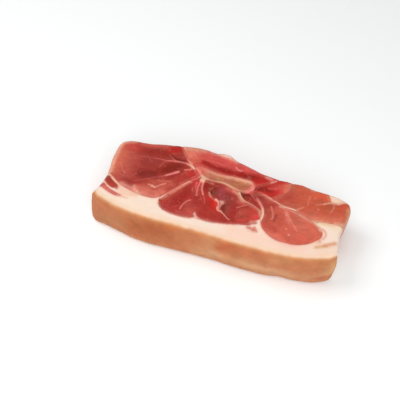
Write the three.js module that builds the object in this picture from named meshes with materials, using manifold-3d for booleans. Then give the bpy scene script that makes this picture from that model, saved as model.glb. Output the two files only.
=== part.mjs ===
// A thick, rind-on, bone-in slice of raw ham, lying on its cut face.
// The slice is one blank, sawn flat on both faces and rounded at its edges. A layer of fat along the
// rind, with the seams that branch from it, and the blade bone run through the whole thickness. What
// is left of the blank between them falls apart into the single muscles.
// Millimetres, +Z up. X runs along the rind, Y from the rind to the back, and the origin is on
// the ground below the middle of the slice.
import * as THREE from "three";
import { mergeVertices } from "three/addons/utils/BufferGeometryUtils.js";
import Module from "manifold-3d";

const wasm = await Module();
wasm.setup();

// Driving dimensions.
const LENGTH = 225.4; // along the rind
const DEPTH = 99.6; // from the rind to the back
const THICKNESS = 37;
const GAP = 0.3; // between neighbouring pieces

// The places below are drawn at this size round this middle, and stretched to the driving dimensions.
const DRAWN_LENGTH = 225.4;
const DRAWN_DEPTH = 99.6;
const DRAWN_MIDDLE = [-1, 0.34];

// Edges of the blank.
const BASE_ROUND = 4; // where the side meets the resting face
const EDGE_ROUND = 3; // where the side meets the cut face
const LEFT_END_ROUND = 6; // added at the left end
const RIGHT_END_ROUND = 2; // added at the right end of the lean
const RIGHT_END_UNDERCUT = 4.5; // how far the right end of the lean is drawn in at its foot
const SIDE_BULGE = 0.8; // how far the sides swell out at mid height
const FOOT_STEP = 15; // along the rind, between the places where its foot is measured
const FOOT_INSETS = [
  -1.6, 0.7, 0.3, -1.8, -2, -1, -0.1, 0.8, 1.4, 0.6, 0.5, 0.6, 2.4, 1.1, -0.4, 0.5, 0.5,
]; // how far it is drawn in there

// Relief of the cut face.
const SEAM_DROP = 0.5; // the seams lie a little below the muscles
const BONE_DROP = 0.5;
const MARROW_DROP = 0.9; // the spongy middle of the bone below its rim
const SLIVER_DROP = 1.6; // the narrow muscle below the bone has shrunk back
const HOLLOW_DEPTH = 3.6; // the torn hollow in the centre muscle, at its steep side
const HOLLOW_RUN = 24; // how far its floor takes to come up to the cut face again

// Fineness of the solids.
const OUTLINE_STEPS = 140;
const ROUND_STEPS = 3; // of a quarter turn at the foot, one more at the cut face
const SIDE_LEVELS = [0.36, 0.62]; // heights of the rows of points on the sides
const CURVE_STEP = 2.2; // length of one facet along a seam or an outline
const OVERRUN = 10; // how far a cutting prism reaches past the slice
const LEAST_MUSCLE = 100; // mm3, anything smaller is a loose scrap

// Outline of the slice on the cut face, counter-clockwise from the left end of the rind.
const OUTLINE = [
  // rind side
  [-112, -33.6], [-91, -41.4], [-62, -44.6], [-20, -46.7],
  [22, -48.5], [57, -48.7], [81, -46.5], [97.5, -41.5],
  // right end
  [108.8, -35], [109, -22], [108, -9], [110.3, 5], [111.6, 18],
  // back
  [108.2, 26.8], [90, 30.5], [76, 31.2], [65, 33.8], [42, 34.1], [27, 36.2], [10, 41.5],
  [2, 43.7], [-8, 47.7], [-20, 47.8], [-32, 49.4], [-52, 47.7],
  [-62, 45.3], [-72, 43.4], [-80, 40.8], [-91, 39.7], [-102, 39.2],
  // left end
  [-109.6, 35], [-112, 20], [-109.6, 2], [-108.6, -10], [-110.2, -24],
];

// Where the fat ends and the lean begins, from the left end to the right: one lobe for each muscle
// that lies on the fat. Neighbouring lobes meet in a peak of fat, from which a seam rises.
const FAT_LOBES = [
  [
    [-114, 0], [-106.5, -5.3], [-98.5, -11.3], [-90, -17],
    [-78, -21.2], [-66, -23.1], [-56, -22.6], [-51.7, -19.8],
  ],
  [[-51.3, -24.5], [-47, -29.5], [-40, -33], [-31, -34.3], [-22, -33.5], [-17.8, -31], [-16.8, -26.8]],
  [[-12.5, -31.3], [-4, -32], [8, -31.2], [24, -27], [33, -23], [39.4, -16.5]],
  [
    [42, -23.8], [48, -30], [56, -34.2], [66, -35.3], [77, -34],
    [87, -28.2], [93.7, -19.5], [92.2, -12], [84.3, -6.6],
  ],
  [[90, -3.9], [100, -2.8], [114, -3.4]],
];

// Seams of fat and sinew between the muscles: the line each follows and its width at either end.
const SEAMS = [
  // left muscle from centre muscle, up to the left end of the bone
  { line: [[-51.5, -21], [-46.5, -13], [-40, -3.8], [-33, 5.5], [-26, 13.6]], width: [1.2, 1.8] },
  // round the left end of the bone
  { line: [[-25.8, 12.8], [-30.6, 19.2], [-37, 25.3]], width: [2.4, 1.8] },
  // left muscle from back muscle
  { line: [[-36.4, 24.6], [-42.8, 31.5], [-48.5, 39], [-57.5, 52]], width: [1.7, 1] },
  // centre muscle and sliver from front muscle
  { line: [[39.5, -19], [40, -12], [38.3, -5], [33.5, 2], [27, 8], [19, 12]], width: [2.3, 1.2] },
  // sliver from centre muscle
  { line: [[39, -7.8], [28.5, -2.8], [19.5, 0.3], [14, 6.5], [11, 11.5]], width: [1, 1.6] },
  // front muscle from wedge and right muscle
  {
    line: [[87, -6.5], [75.5, -1.3], [65.5, 2.8], [54, 4], [45.5, 7.4], [35, 11.2], [22, 11.2]],
    width: [1.6, 1.2],
  },
  // wedge from right muscle
  { line: [[43.5, 7.4], [49.5, 14.5], [55, 21.2], [56.6, 28], [55.5, 38]], width: [1.1, 1.6] },
  // round the right end of the bone, then wedge from back muscle
  {
    line: [[23, 10.2], [25.8, 13.3], [26.4, 17.2], [28.4, 20.4], [33, 23.8], [39, 28.4], [48, 38]],
    width: [1.2, 1.2],
  },
];

// The flat end of the shoulder blade, cut across.
const BONE = [
  [25.2, 16.5], [21, 23], [10, 24.2], [-8, 23.3], [-19, 24.7], [-28, 26.8], [-33.4, 25], [-28.6, 19.3],
  [-23.6, 13.6], [-14, 12.5], [-3, 12.6], [7, 9.4], [14.5, 8.1], [21.6, 10.4],
];
const MARROW = [
  [20.8, 16.5], [17, 20.6], [6, 21.4], [-8, 20.6], [-19, 21.8], [-26.5, 23], [-24.6, 19.2], [-19.5, 16],
  [-11, 15.4], [-1, 15.4], [8, 12.4], [16, 11.4],
];

// Thin streaks of lean that lie in the fat and come out at the left end.
const STREAKS = {
  streak_upper: [
    [-116, -4], [-106.5, -8.4], [-99, -13.8], [-91.5, -19.6],
    [-95, -22.4], [-101, -20.2], [-107, -14.4], [-116, -9],
  ],
  streak_lower: [
    [-116, -13], [-107, -18.7], [-98, -24.2], [-84.5, -29.2],
    [-90, -30], [-100, -26.8], [-107.5, -23], [-116, -18],
  ],
};

// A wedge of fat at the right end of the back edge.
const BACK_FAT = [
  [88.6, 38], [89.7, 29], [92, 24.8], [93.8, 21.4], [98.5, 21.6], [103.5, 24], [108, 26], [110, 38],
];

// The torn hollow in the centre muscle: first the steep side, then round its rising floor.
const HOLLOW_TEAR = [
  [-13, 2], [-10.5, -2.5], [-4, -5.8], [-0.6, -9], [1, -15.5], [6.5, -20], [13, -25.4],
];
const HOLLOW_FLOOR = [[22, -20.5], [28, -11], [22.5, -1.5], [12, 6], [1, 10], [-9.5, 8.4]];

// Colours and finishes.
const FAT_FINISH = { color: 0xf6dccb, roughness: 0.5 };
const BONE_FINISH = { color: 0xd9a986, roughness: 0.6 };
const LEAN_ROUGHNESS = 0.42;

// The muscles: about where each lies, and its colour.
const MUSCLES = {
  lean_left: { middle: [-70, 12], color: 0xa23a31 },
  lean_back: { middle: [-5, 36], color: 0xc44a3e },
  lean_centre: { middle: [-6, -10], color: 0xa7332c },
  lean_sliver: { middle: [26, 4], color: 0x8c322b },
  lean_front: { middle: [60, -12], color: 0xc65848 },
  lean_wedge: { middle: [40, 22], color: 0xc33c33 },
  lean_right: { middle: [80, 14], color: 0xc4614a },
};
const STREAK_COLOURS = { streak_upper: 0xa63a30, streak_lower: 0xd06a5c };

// A place on the cut face, from the drawing.
function place([x, y]) {
  const along = ((x - DRAWN_MIDDLE[0]) * LENGTH) / DRAWN_LENGTH;
  const across = ((y - DRAWN_MIDDLE[1]) * DEPTH) / DRAWN_DEPTH;
  return new THREE.Vector3(along, across, 0);
}

// A smooth curve through drawn places.
function curveThrough(places, closed = false) {
  return new THREE.CatmullRomCurve3(places.map(place), closed, "centripetal");
}

// Evenly spaced points along a curve, one facet apart.
function facetPoints(curve) {
  return curve.getSpacedPoints(Math.ceil(curve.getLength() / CURVE_STEP));
}

// 0 below start, 1 past end, and a smooth rise between.
function ramp(value, start, end) {
  const share = THREE.MathUtils.clamp((value - start) / (end - start), 0, 1);
  return share * share * (3 - 2 * share);
}

// Radius of the edge round the cut face. The two ends are rounder than the rind side and the back,
// but not where they turn the corner.
function edgeRound(x, y) {
  const corners = ramp(y / DEPTH, -0.37, -0.22) * (1 - 0.6 * ramp(y / DEPTH, 0.22, 0.36));
  const left = ramp(x / LENGTH, -0.41, -0.475) * (0.8 + 0.2 * ramp(y / DEPTH, -0.12, 0.02));
  const right = ramp(x / LENGTH, 0.43, 0.48) * ramp(y / DEPTH, -0.06, 0.06);
  return EDGE_ROUND + LEFT_END_ROUND * left * corners + RIGHT_END_ROUND * right;
}

// How far the side is set in at a share of its height: it swells a little at mid height, and the
// rind and the right end of the lean are drawn in at their foot.
function sideInset(x, y, share) {
  const along = THREE.MathUtils.clamp((x + LENGTH / 2) / FOOT_STEP, 0, FOOT_INSETS.length - 1.001);
  const before = Math.floor(along);
  const between = ramp(along - before, 0, 1);
  const inset = THREE.MathUtils.lerp(FOOT_INSETS[before], FOOT_INSETS[before + 1], between);
  const rind = inset * ramp(y / DEPTH, -0.24, -0.36);
  const rightEnd = RIGHT_END_UNDERCUT * ramp(x / LENGTH, 0.44, 0.475) * ramp(y / DEPTH, -0.12, 0);
  return (rind + rightEnd) * (1 - share) - SIDE_BULGE * Math.sin(Math.PI * share);
}

// The unit normal of a polygon's side that starts at one of its points, to its left.
function leftNormal(from, to) {
  return new THREE.Vector3(from.y - to.y, to.x - from.x, 0).normalize();
}

// A counter-clockwise polygon moved inwards by a distance, or outwards by a negative one.
function insetPolygon(points, distance) {
  return points.map((point, i) => {
    const before = leftNormal(points.at(i - 1), point);
    const after = leftNormal(point, points[(i + 1) % points.length]);
    const bisector = before.clone().add(after).normalize();
    return point.clone().addScaledVector(bisector, distance / Math.max(bisector.dot(after), 0.4));
  });
}

// A closed geometry as a solid.
function solidOf(geometry) {
  const bare = geometry.clone();
  bare.deleteAttribute("normal");
  bare.deleteAttribute("uv");
  const merged = mergeVertices(bare, 1e-4);
  const corners = merged.index.array;
  const triVerts = [];
  for (let i = 0; i < corners.length; i += 3) {
    const [a, b, c] = corners.slice(i, i + 3);
    if (a !== b && b !== c && c !== a) {
      triVerts.push(a, b, c);
    }
  }
  return new wasm.Manifold(
    new wasm.Mesh({
      numProp: 3,
      vertProperties: merged.getAttribute("position").array,
      triVerts: new Uint32Array(triVerts),
    }),
  );
}

// A solid as a geometry.
function geometryOf(solid) {
  const { numProp, vertProperties, triVerts } = solid.getMesh();
  const points = new Float32Array((vertProperties.length / numProp) * 3);
  for (let i = 0; i < points.length / 3; i++) {
    points.set(vertProperties.subarray(i * numProp, i * numProp + 3), i * 3);
  }
  const geometry = new THREE.BufferGeometry();
  geometry.setAttribute("position", new THREE.BufferAttribute(points, 3));
  geometry.setIndex(new THREE.BufferAttribute(new Uint32Array(triVerts), 1));
  geometry.computeVertexNormals();
  return geometry;
}

// The whole slice before it is taken apart: a lathe's mesh, whose round section is pulled out to
// the outline. Its rows run from the middle of the resting face, up the side, to the middle of the
// cut face, which lies at the height of the top.
function sliceBlank(top = THICKNESS) {
  const rim = curveThrough(OUTLINE, true).getSpacedPoints(OUTLINE_STEPS).slice(0, -1);
  const shrunk = insetPolygon(rim, 1);

  // One row: how far in from the rim, then how much of the way from the middle, and its height.
  const rows = [{ inset: () => 0, share: 0, height: () => 0 }];
  for (let step = 0; step <= ROUND_STEPS; step++) {
    const angle = ((step / ROUND_STEPS) * Math.PI) / 2;
    rows.push({
      inset: (x, y) => BASE_ROUND * (1 - Math.sin(angle)) + sideInset(x, y, 0),
      share: 1,
      height: () => BASE_ROUND * (1 - Math.cos(angle)),
    });
  }
  for (const level of SIDE_LEVELS) {
    rows.push({ inset: (x, y) => sideInset(x, y, level), share: 1, height: () => level * THICKNESS });
  }
  for (let step = 0; step <= ROUND_STEPS + 1; step++) {
    const angle = ((step / (ROUND_STEPS + 1)) * Math.PI) / 2;
    rows.push({
      inset: (x, y) => edgeRound(x, y) * (1 - Math.cos(angle)),
      share: 1,
      height: (x, y) => top - edgeRound(x, y) * (1 - Math.sin(angle)),
    });
  }
  rows.push({ inset: edgeRound, share: 0, height: () => top });

  const last = rows.length - 1;
  const profile = rows.map((row, j) => new THREE.Vector2(j === 0 || j === last ? 0 : 1, j));
  const lathe = new THREE.LatheGeometry(profile, OUTLINE_STEPS);
  const positions = lathe.getAttribute("position");
  for (let i = 0; i <= OUTLINE_STEPS; i++) {
    const point = rim[i % OUTLINE_STEPS];
    const inwards = shrunk[i % OUTLINE_STEPS].clone().sub(point);
    rows.forEach(({ inset, share, height }, j) => {
      const at = point.clone().addScaledVector(inwards, inset(point.x, point.y)).multiplyScalar(share);
      positions.setXYZ(i * rows.length + j, at.x, at.y, height(point.x, point.y));
    });
  }
  return solidOf(lathe);
}

// A prism that stands on a polygon and reaches past both faces of the slice.
function prism(points) {
  const outline = new THREE.Shape(points.map(({ x, y }) => new THREE.Vector2(x, y)));
  const depth = THICKNESS + 2 * OVERRUN;
  const geometry = new THREE.ExtrudeGeometry(outline, { depth, bevelEnabled: false });
  return geometry.translate(0, 0, -OVERRUN);
}

// A prism on a closed outline, grown by a margin.
function outlinePrism(places, margin = 0) {
  const points = facetPoints(curveThrough(places, true)).slice(0, -1);
  const clockwise = THREE.ShapeUtils.area(points) < 0;
  return solidOf(prism(insetPolygon(clockwise ? points.reverse() : points, -margin)));
}

// The upright sheet of fat along a seam, grown by a margin on both sides.
function seamSheet({ line, width }, margin = 0) {
  const curve = curveThrough(line);
  const points = facetPoints(curve);
  const sides = [1, -1].map((side) =>
    points.map((point, i) => {
      const share = i / (points.length - 1);
      const tangent = curve.getTangentAt(share);
      const half = THREE.MathUtils.lerp(width[0], width[1], share) / 2 + margin;
      return new THREE.Vector3(point.x - tangent.y * half * side, point.y + tangent.x * half * side, 0);
    }),
  );
  return solidOf(prism([...sides[1], ...sides[0].reverse()]));
}

// Everything on the rind's side of the lobes, grown by a margin towards the lean.
function fatLayer(margin = 0) {
  const border = [];
  let start = [];
  for (const lobe of FAT_LOBES) {
    border.push(...facetPoints(curveThrough([...start, ...lobe])).slice(start.length));
    start = [lobe.at(-1)];
  }
  const outside = [
    [DRAWN_LENGTH / 2 + OVERRUN, -DRAWN_DEPTH],
    [-DRAWN_LENGTH / 2 - OVERRUN, -DRAWN_DEPTH],
  ].map(place);
  return solidOf(prism(insetPolygon([...border, ...outside].reverse(), -margin)));
}

// What is taken out of the centre muscle: steep at the tear, with a floor that rises from there.
function hollowCut() {
  const tear = HOLLOW_TEAR.map(place);
  const across = leftNormal(tear[0], tear.at(-1));
  const floor = facetPoints(curveThrough([HOLLOW_TEAR.at(-1), ...HOLLOW_FLOOR, HOLLOW_TEAR[0]]));
  const geometry = prism([...tear, ...floor.slice(1, -1)]);
  const positions = geometry.getAttribute("position");
  for (let i = 0; i < positions.count; i++) {
    const corner = new THREE.Vector3(positions.getX(i), positions.getY(i), 0);
    const away = corner.sub(tear[0]).dot(across);
    if (positions.getZ(i) < 0) {
      positions.setZ(i, THICKNESS - HOLLOW_DEPTH * (1 - away / HOLLOW_RUN));
    }
  }
  return solidOf(geometry);
}

// Everything above a level, inside an outline.
function above(level, places) {
  const points = facetPoints(curveThrough(places, true)).slice(0, -1);
  return solidOf(prism(points).translate(0, 0, level + OVERRUN));
}

// The fat: the layer under the rind and the seams that branch from it, round bone and streaks.
function fatSolid(blank, sunkenBlank) {
  let seams = seamSheet(SEAMS[0]);
  for (const seam of SEAMS.slice(1)) {
    seams = seams.add(seamSheet(seam));
  }
  let fat = fatLayer().intersect(blank).add(seams.intersect(sunkenBlank).intersect(blank));
  fat = fat.subtract(outlinePrism(BONE, GAP));
  for (const streak of Object.values(STREAKS)) {
    fat = fat.subtract(outlinePrism(streak, GAP));
  }
  return largest(fat);
}

// The largest of the bodies of a solid.
function largest(solid) {
  return solid.decompose().sort((a, b) => b.volume() - a.volume())[0];
}

// The bone: a hard rim round a spongy middle, both a little below the lean.
function boneSolid(blank) {
  const whole = outlinePrism(BONE).intersect(blank);
  return whole
    .subtract(above(THICKNESS - BONE_DROP, OUTLINE))
    .subtract(above(THICKNESS - BONE_DROP - MARROW_DROP, MARROW));
}

// The muscles, by name: what the fat, the bone and the wedge of fat leave of the blank.
function muscleSolids(blank) {
  let lean = blank.subtract(fatLayer(GAP));
  for (const places of [BONE, BACK_FAT]) {
    lean = lean.subtract(outlinePrism(places, GAP));
  }
  for (const seam of SEAMS) {
    lean = lean.subtract(seamSheet(seam, GAP));
  }
  const bodies = lean.decompose().filter((body) => body.volume() > LEAST_MUSCLE);
  const solids = {};
  for (const [name, { middle }] of Object.entries(MUSCLES)) {
    const aim = place(middle);
    const distance = (body) => {
      const { min, max } = body.boundingBox();
      return Math.hypot((min[0] + max[0]) / 2 - aim.x, (min[1] + max[1]) / 2 - aim.y);
    };
    solids[name] = bodies.sort((a, b) => distance(a) - distance(b))[0];
  }
  solids.lean_centre = solids.lean_centre.subtract(hollowCut());
  solids.lean_sliver = solids.lean_sliver.subtract(above(THICKNESS - SLIVER_DROP, OUTLINE));
  return solids;
}

// A named piece of the slice.
function piece(name, solid, finish) {
  const material = new THREE.MeshStandardMaterial({ metalness: 0, ...finish });
  const mesh = new THREE.Mesh(geometryOf(solid), material);
  mesh.name = name;
  return mesh;
}

const blank = sliceBlank();
const sunkenBlank = sliceBlank(THICKNESS - SEAM_DROP);

const slice = new THREE.Group();
slice.add(piece("fat", fatSolid(blank, sunkenBlank), FAT_FINISH));
slice.add(piece("fat_back_corner", outlinePrism(BACK_FAT).intersect(blank), FAT_FINISH));
slice.add(piece("blade_bone", boneSolid(blank), BONE_FINISH));

const lean = new THREE.Group();
for (const [name, solid] of Object.entries(muscleSolids(blank))) {
  lean.add(piece(name, solid, { color: MUSCLES[name].color, roughness: LEAN_ROUGHNESS }));
}
for (const [name, places] of Object.entries(STREAKS)) {
  const finish = { color: STREAK_COLOURS[name], roughness: LEAN_ROUGHNESS };
  lean.add(piece(name, outlinePrism(places).intersect(blank), finish));
}
slice.add(lean);

export default slice;
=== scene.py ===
import math

import bmesh
import bpy
import numpy as np
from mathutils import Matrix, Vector, noise
from mathutils.bvhtree import BVHTree
from mathutils.kdtree import KDTree


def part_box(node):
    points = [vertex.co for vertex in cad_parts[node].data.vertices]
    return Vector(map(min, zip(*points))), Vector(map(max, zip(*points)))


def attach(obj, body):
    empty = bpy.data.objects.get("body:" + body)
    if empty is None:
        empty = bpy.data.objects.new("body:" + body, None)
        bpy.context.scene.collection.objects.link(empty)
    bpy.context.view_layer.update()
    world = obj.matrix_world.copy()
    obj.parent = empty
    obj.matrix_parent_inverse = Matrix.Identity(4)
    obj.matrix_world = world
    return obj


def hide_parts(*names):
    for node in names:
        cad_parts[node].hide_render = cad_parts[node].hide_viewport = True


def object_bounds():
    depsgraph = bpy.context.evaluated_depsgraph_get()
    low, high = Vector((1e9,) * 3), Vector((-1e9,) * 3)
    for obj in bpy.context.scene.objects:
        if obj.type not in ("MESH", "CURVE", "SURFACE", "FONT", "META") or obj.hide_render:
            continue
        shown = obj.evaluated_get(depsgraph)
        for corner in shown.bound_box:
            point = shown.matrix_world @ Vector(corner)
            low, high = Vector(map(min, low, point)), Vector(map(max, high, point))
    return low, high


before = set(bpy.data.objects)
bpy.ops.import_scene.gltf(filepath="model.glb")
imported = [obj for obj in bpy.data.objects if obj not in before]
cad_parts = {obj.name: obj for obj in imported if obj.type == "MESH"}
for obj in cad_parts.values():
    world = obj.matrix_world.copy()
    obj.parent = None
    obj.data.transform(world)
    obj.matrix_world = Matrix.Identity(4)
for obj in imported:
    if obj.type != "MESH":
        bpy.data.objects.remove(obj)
cad_low, cad_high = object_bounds()

# The fat: the firm white layer that lies under the skin, with the thin sheets of fat and sinew that
# grow from it between the muscles, all one body. Its outer side is the rind, the scalded and scraped
# skin, tan and leathery. A saw cut through it with everything else.
MM = 0.001
THICKNESS = cad_high.z / MM
FAT_CELL = 0.8  # mm, of the mesh seen from above
SIDE_CELL = 2.0  # mm, of every mesh's height
SAME_PLACE = 1e-7  # metres, between points that count as one
SLIVER = 1e-6  # metres, the length of an edge that is dropped
FLAT_ANGLE = math.radians(0.05)
CREASE_ANGLE = math.radians(50)
GAP_FILL = 0.13  # of the 0.3 mm that the solids keep between them, closed from either side
NEIGHBOUR_REACH = 4.0  # a wall with another piece nearer than this in front of it is an inner one
RAY_START = 1e-5  # metres in front of the face that looks for a neighbour
FOOT = 3.0  # relief starts this high, so that the slice still lies flat
SEAM_RISE = 0.3  # the seams' upper edges, which the solids hold 0.5 mm lower, come up by this
KEPT_MARGIN = 2.0  # on either side of a line that stays sharp
CURVE_STEPS = 6  # between two places that a drawn line runs through
DRAWING_ORIGIN = (0.8, 0.06)  # of all painted places, in mm from the slice's own origin
LAMP_GAIN = 1.07  # how much brighter than its paint a surface comes out under the lamps
SHEEN = 0.003  # what the moist film adds to that
DARKEST = 0.002  # no paint is blacker than this


def all_solids():
    """One search tree over all the solids, and for each of its triangles the name of the solid."""
    points, triangles, owners = [], [], []
    for name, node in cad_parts.items():
        start = len(points)
        points.extend(vertex.co for vertex in node.data.vertices)
        for polygon in node.data.polygons:
            triangles.append([start + corner for corner in polygon.vertices])
            owners.append(name)
    return BVHTree.FromPolygons(points, triangles), owners


solids, solid_names = all_solids()


def cut_fine(name, cell):
    """A copy of a solid, merged and then cut into cells small enough to take relief and colour."""
    bm = bmesh.new()
    bm.from_mesh(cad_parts[name].data)
    bmesh.ops.remove_doubles(bm, verts=bm.verts, dist=SAME_PLACE)
    bmesh.ops.dissolve_degenerate(bm, dist=SLIVER, edges=bm.edges)
    bmesh.ops.dissolve_limit(bm, angle_limit=FLAT_ANGLE, verts=bm.verts, edges=bm.edges)
    low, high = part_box(name)
    for axis, step in ((0, cell * MM), (1, cell * MM), (2, SIDE_CELL * MM)):
        across = Vector()
        across[axis] = 1
        for cut in np.arange(math.ceil(low[axis] / step), high[axis] / step) * step:
            geometry = [*bm.verts, *bm.edges, *bm.faces]
            bmesh.ops.bisect_plane(
                bm, geom=geometry, dist=SAME_PLACE, plane_co=across * cut, plane_no=across
            )
    # Closes any small hole that a cut leaves where facets barely meet.
    bmesh.ops.holes_fill(bm, edges=bm.edges, sides=4)
    return bm


def round_skin(bm, name, passes, kept_line=()):
    """Tags the walls that face another piece, and smooths the facets of the skin between them, but
    not near a line that is to stay sharp."""
    bm.normal_update()
    for face in bm.faces:
        start = face.calc_center_median() + face.normal * RAY_START
        _, _, hit, _ = solids.ray_cast(start, face.normal, NEIGHBOUR_REACH * MM)
        face.tag = hit is not None and solid_names[hit] != name
    free = [v for v in bm.verts if not any(face.tag for face in v.link_faces)]
    if kept_line:
        away, _ = line_distance(np.array([v.co / MM for v in free]), kept_line)
        free = [v for v, distance in zip(free, away) if distance > KEPT_MARGIN]
    for _ in range(passes):
        bmesh.ops.smooth_vert(
            bm, verts=free, factor=0.5, use_axis_x=True, use_axis_y=True, use_axis_z=True
        )
    bm.normal_update()


def survey(bm):
    """For each vertex, in mm: its place, the skin's and the inner walls' normals, and how far it is
    from the nearest place where the skin meets a neighbour."""
    count = len(bm.verts)
    place, skin, wall = np.zeros((count, 3)), np.zeros((count, 3)), np.zeros((count, 3))
    border = []
    for i, vertex in enumerate(bm.verts):
        place[i] = vertex.co / MM
        for face in vertex.link_faces:
            (wall if face.tag else skin)[i] += np.array(face.normal) * face.calc_area()
        if skin[i].any() and wall[i].any():
            border.append(i)
    for normals in (skin, wall):
        lengths = np.linalg.norm(normals, axis=1, keepdims=True)
        np.divide(normals, lengths, out=normals, where=lengths > 0)
    tree = KDTree(len(border))
    for i in border:
        tree.insert(place[i], i)
    tree.balance()
    edge = np.array([tree.find(point)[2] for point in place])
    return place, skin, wall, edge


def lumps(place, size):
    """Smooth noise from about -1 to 1, with lumps of that size in mm."""
    return np.array([noise.noise(Vector(point) / size) for point in place])


def ramp(value, start, end):
    """0 at start, 1 at end, and a smooth rise between."""
    share = np.clip((value - start) / (end - start), 0, 1)
    return share * share * (3 - 2 * share)


def linear(text):
    """A colour written as sRGB hex, as linear numbers."""
    parts = np.array([int(text[i : i + 2], 16) for i in (1, 3, 5)]) / 255
    return np.where(parts <= 0.04045, parts / 12.92, ((parts + 0.055) / 1.055) ** 2.4)


def paint(text):
    """The paint that comes out as this colour under the lamps."""
    return np.maximum(linear(text) - SHEEN, DARKEST) / LAMP_GAIN


def smooth_line(points):
    """A Catmull-Rom curve through a few places, as closely spaced places."""
    places = np.array(points, float) + DRAWING_ORIGIN
    if len(places) < 3:
        return places
    padded = np.vstack([2 * places[0] - places[1], places, 2 * places[-1] - places[-2]])
    line = [places[0]]
    for a, b, c, d in zip(padded, padded[1:], padded[2:], padded[3:]):
        slope = c - a
        bend = 2 * a - 5 * b + 4 * c - d
        twist = 3 * b - a - 3 * c + d
        for t in np.arange(1, CURVE_STEPS + 1) / CURVE_STEPS:
            line.append(b + t * (slope + t * (bend + t * twist)) / 2)
    return np.array(line)


def line_distance(place, points):
    """How far each place is from a line drawn on the cut face, in mm, and how far along the line that
    is, as a share."""
    line = smooth_line(points)
    if len(line) == 1:
        return np.linalg.norm(place[:, :2] - line[0], axis=1), np.zeros(len(place))
    nearest = np.full(len(place), np.inf)
    share = np.zeros(len(place))
    for i, (start, end) in enumerate(zip(line, line[1:])):
        stretch = end - start
        t = np.clip((place[:, :2] - start) @ stretch / (stretch @ stretch), 0, 1)
        away = np.linalg.norm(place[:, :2] - start - t[:, None] * stretch, axis=1)
        closer = away < nearest
        nearest[closer] = away[closer]
        share[closer] = (i + t[closer]) / (len(line) - 1)
    return nearest, share


def blend(tone, cover, colour):
    """Lays a colour over the tone, as thickly as the cover says."""
    tone += np.asarray(cover)[:, None] * (paint(colour) - tone)


def brush(tone, place, strokes, sharpness=2, strength=1.0):
    """Lays ragged strokes of colour over the tone: each has a colour, a cover, a radius in mm at
    either end and the places that it runs through. The strength is one number or one a vertex."""
    ragged = 0.28 * lumps(place, 2.3) + 0.25 * lumps(place, 8)
    for colour, cover, (start, end), points in strokes:
        away, share = line_distance(place, points)
        reach = away / (start + (end - start) * share) + ragged
        blend(tone, strength * cover * np.exp(-np.abs(reach) ** sharpness), colour)


def spread(place, points, radius, low, high):
    """1 on a line along the upper edge, fading sideways over a radius, and downwards from the high to
    the low height, in mm."""
    away, _ = line_distance(place, points)
    return np.exp(-((away / radius) ** 2)) * ramp(place[:, 2], low, high)


def add_piece(bm, name, node, slot, material, place, tone, **amounts):
    """Writes the places and the painted amounts back, and makes the piece that stands for its solid."""
    for vertex, point in zip(bm.verts, place):
        vertex.co = Vector(point) * MM
    mesh = bpy.data.meshes.new(name)
    bm.to_mesh(mesh)
    bm.free()
    mesh.shade_smooth()
    mesh.set_sharp_from_angle(angle=CREASE_ANGLE)
    colours = np.hstack([tone, np.ones((len(tone), 1))])
    mesh.attributes.new("tone", "FLOAT_COLOR", "POINT").data.foreach_set("color", colours.ravel())
    for amount, values in amounts.items():
        mesh.attributes.new(amount, "FLOAT", "POINT").data.foreach_set("value", values)
    mesh.materials.append(material)
    piece = bpy.data.objects.new(name, mesh)
    bpy.context.scene.collection.objects.link(piece)
    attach(piece, "root")
    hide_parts(node)


def relieve(place, skin, wall, height):
    """Moves the skin out by a height in mm, and the inner walls towards their neighbours."""
    free = ramp(place[:, 2], FOOT, 3 * FOOT)
    return place + skin * (height * free)[:, None] + wall * GAP_FILL


def common_relief(place):
    """The unevenness that runs on from piece to piece, in mm."""
    return 0.26 * lumps(place, 15) + 0.1 * lumps(place, 5.5)


def fill(tree, node, links):
    """Puts a link or a plain value into sockets of a node. Sockets that share a name go by number."""
    for socket, value in links.items():
        if isinstance(value, bpy.types.NodeSocket):
            tree.links.new(value, node.inputs[socket])
        else:
            node.inputs[socket].default_value = value


def add_node(tree, kind, links, **settings):
    """Adds a node of one kind, with its settings and what goes into its sockets."""
    node = tree.nodes.new(kind)
    for name, value in settings.items():
        setattr(node, name, value)
    fill(tree, node, links)
    return node


def new_material(name):
    """A material, its nodes, and what each pattern here starts from: the place on the piece and the
    painted tone."""
    material = bpy.data.materials.new(name)
    material.use_nodes = True
    tree = material.node_tree
    spot = add_node(tree, "ShaderNodeTexCoord", {}).outputs["Object"]
    tone = add_node(tree, "ShaderNodeAttribute", {}, attribute_name="tone").outputs["Color"]
    return material, tree, spot, tone


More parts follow.
